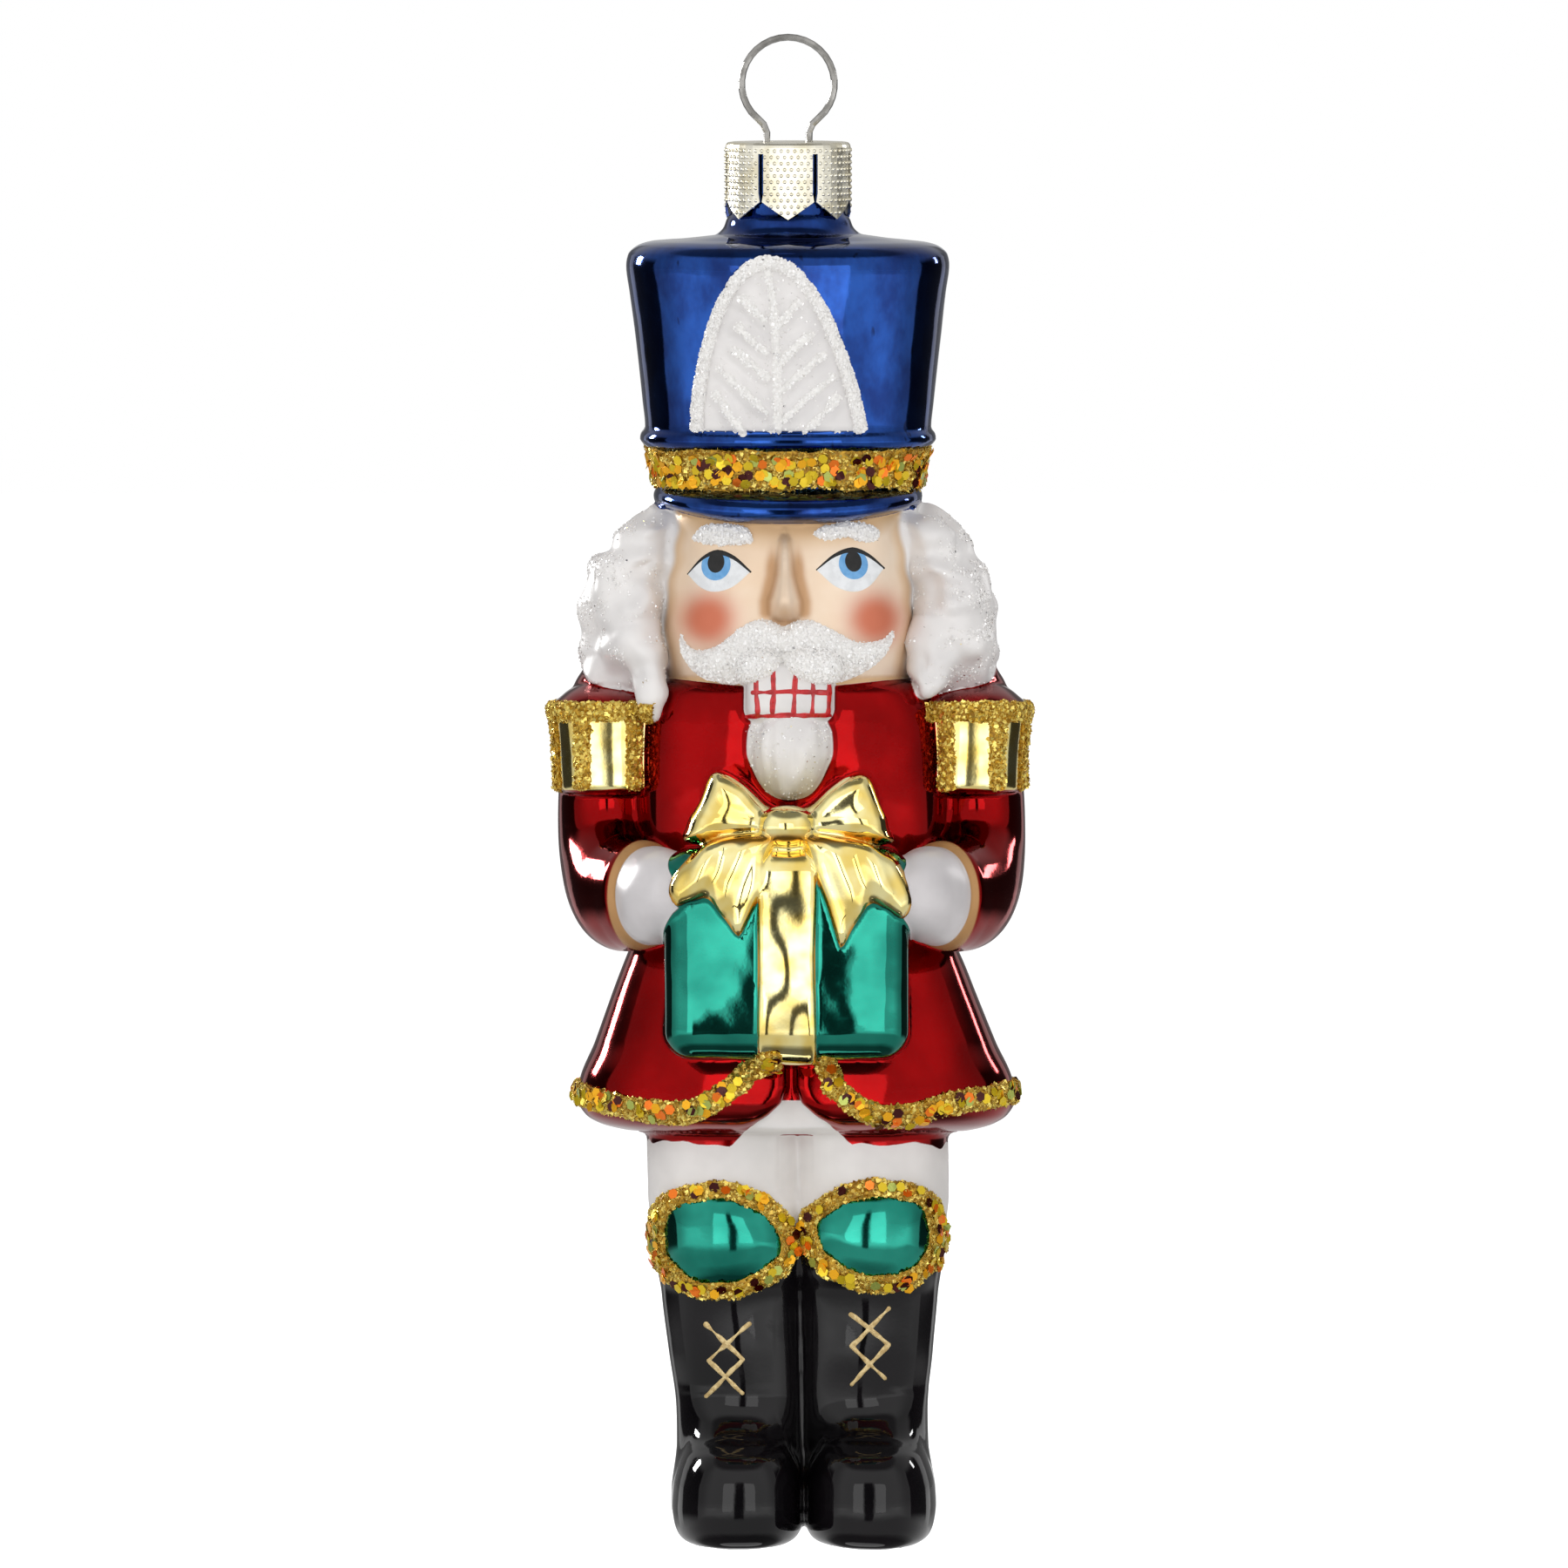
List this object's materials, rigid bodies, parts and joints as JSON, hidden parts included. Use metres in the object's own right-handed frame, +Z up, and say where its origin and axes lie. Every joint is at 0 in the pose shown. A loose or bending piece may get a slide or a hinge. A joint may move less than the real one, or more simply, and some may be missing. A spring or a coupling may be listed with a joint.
{
  "type": "hanging glass ornament",
  "caption": "Blown glass nutcracker figure in a shako hat holding a gift box, with a petalled metal neck cap and a sprung wire hanging loop.",
  "frame": {"origin": "the point inside the top of the wire loop where the ornament hangs", "axes": "+Z up along the figure, -Y out of the figure's face, +X to the viewer's right when facing it"},
  "size_m": [0.0497, 0.0362, 0.1514],
  "materials": {
    "wire": "bright drawn wire",
    "cap_sheet": "champagne gold, embossed with fine dots",
    "lacquered_glass": "mirror-coated blown glass under coloured lacquers",
    "white_glitter": "iridescent white glitter in clear glue",
    "gold_glitter": "gold glitter with small hexagonal sequins"
  },
  "bodies": {
    "hanger": {"hanger_wire": "wire"},
    "cap": {"cap": "cap_sheet"},
    "figure": {"glass_body": "lacquered_glass", "hat_band": "gold_glitter", "plume_border": "white_glitter", "plume_barbs": "white_glitter", "moustache": "white_glitter", "hem_trim": "gold_glitter", "eyebrow_left": "white_glitter", "eyebrow_right": "white_glitter", "epaulette_trim_left": "gold_glitter", "epaulette_trim_right": "gold_glitter", "knee_trim_left": "gold_glitter", "knee_trim_right": "gold_glitter"}
  },
  "joints": [
    {"name": "cap_slide", "type": "slide", "parent": "hanger", "child": "cap", "axis": [0, 0, 1], "range_m": [0, 0.0011]},
    {"name": "neck_pull", "type": "slide", "parent": "hanger", "child": "figure", "axis": [0, 0, -1], "range_m": [0, 0.024]}
  ]
}
